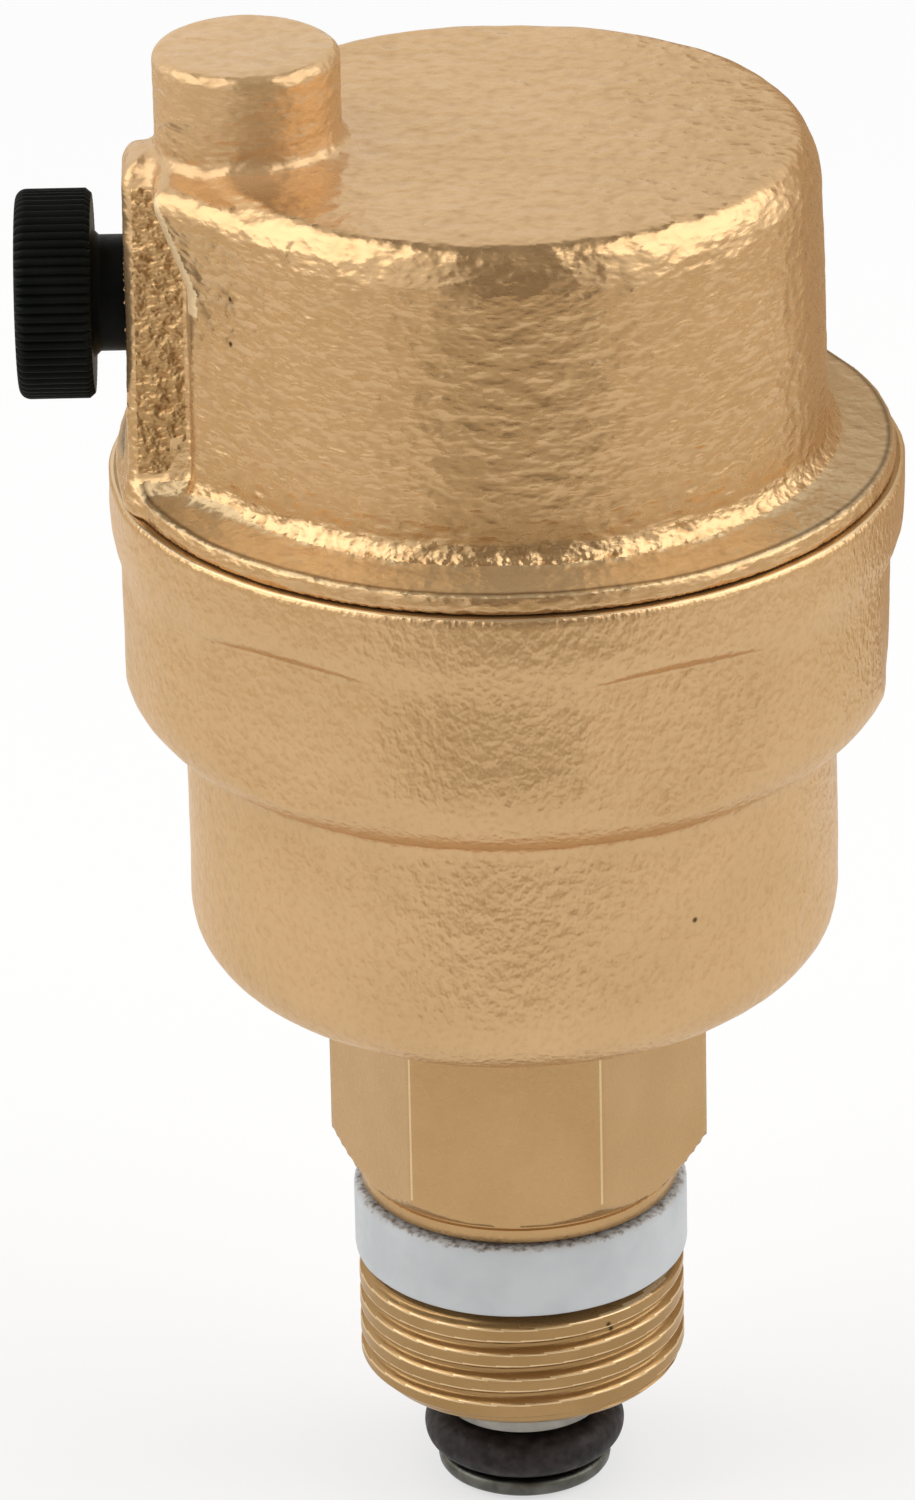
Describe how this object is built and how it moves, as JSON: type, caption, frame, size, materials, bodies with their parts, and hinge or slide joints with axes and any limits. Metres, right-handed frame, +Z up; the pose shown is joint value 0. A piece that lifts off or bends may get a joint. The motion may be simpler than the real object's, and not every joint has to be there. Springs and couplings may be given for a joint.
{
  "type": "air release valve",
  "caption": "Brass automatic air vent with a bell cover, a side vent knob, a G 1/2 inlet thread with a white seal ring, and a float with its lever valve inside.",
  "frame": {"origin": "on the axis of the inlet thread, at the underside of the white seal ring, where it meets the port's mouth", "axes": "+Z up along the axis of the inlet thread and the body, -X towards the vent knob"},
  "size_m": [0.0548, 0.0496, 0.0992],
  "materials": {
    "body": "cast and machined, satin",
    "cover": "cast, satin",
    "cover_oring": "matte",
    "seal_ring": "satin",
    "inlet_spigot": "dull grey metal",
    "spigot_oring": "matte",
    "vent_knob": "satin",
    "vent_washer": "matte",
    "valve_seat": "turned",
    "seat_oring": "matte",
    "valve_stem": "satin",
    "valve_disc": "matte",
    "stem_pin": "satin",
    "valve_spring": "drawn wire",
    "spring_retainer": "satin",
    "stem_nut": "satin",
    "lever_bracket": "satin",
    "fulcrum_pin": "satin",
    "fulcrum_spacer_front": "satin",
    "fulcrum_spacer_back": "satin",
    "float_lever": "satin",
    "float_pin": "satin",
    "float_shell": "satin",
    "float_base": "satin"
  },
  "bodies": {
    "housing": {"body": "body", "cover": "cover", "cover_oring": "cover_oring", "seal_ring": "seal_ring", "inlet_spigot": "inlet_spigot", "spigot_oring": "spigot_oring", "valve_seat": "valve_seat", "seat_oring": "seat_oring", "lever_bracket": "lever_bracket", "fulcrum_pin": "fulcrum_pin", "fulcrum_spacer_front": "fulcrum_spacer_front", "fulcrum_spacer_back": "fulcrum_spacer_back", "valve_spring": "valve_spring"},
    "vent_tip": {"vent_washer": "vent_washer"},
    "knob": {"vent_knob": "vent_knob"},
    "stem": {"valve_stem": "valve_stem", "valve_disc": "valve_disc", "stem_pin": "stem_pin", "spring_retainer": "spring_retainer", "stem_nut": "stem_nut"},
    "lever": {"float_lever": "float_lever", "float_pin": "float_pin"},
    "float": {"float_shell": "float_shell", "float_base": "float_base"}
  },
  "joints": [
    {"name": "float_lift", "type": "slide", "parent": "housing", "child": "float", "axis": [0, 0, 1], "range_m": [0, 0.00557]},
    {"name": "lever_swing", "type": "hinge", "parent": "housing", "child": "lever", "pos_m": [-0.0183, 0, 0.0551], "axis": [0, -1, 0], "range_deg": [0, 20]},
    {"name": "stem_lift", "type": "slide", "parent": "housing", "child": "stem", "axis": [0, 0, 1], "range_m": [0, 0.00102], "deforming": ["valve_spring"]},
    {"name": "knob_travel", "type": "slide", "parent": "housing", "child": "vent_tip", "axis": [-1, 0, 0], "range_m": [0, 0.0015]},
    {"name": "knob_turn", "type": "hinge", "parent": "vent_tip", "child": "knob", "pos_m": [-0.0234, 0, 0.0669], "axis": [-1, 0, 0], "range_deg": [0, 540]}
  ],
  "couplings": [
    {"joint": "lever_swing", "follows": "float_lift", "rad_per_m": 62.623},
    {"joint": "stem_lift", "follows": "float_lift", "ratio": 0.1828},
    {"joint": "knob_turn", "follows": "knob_travel", "rad_per_m": 6283.2}
  ]
}
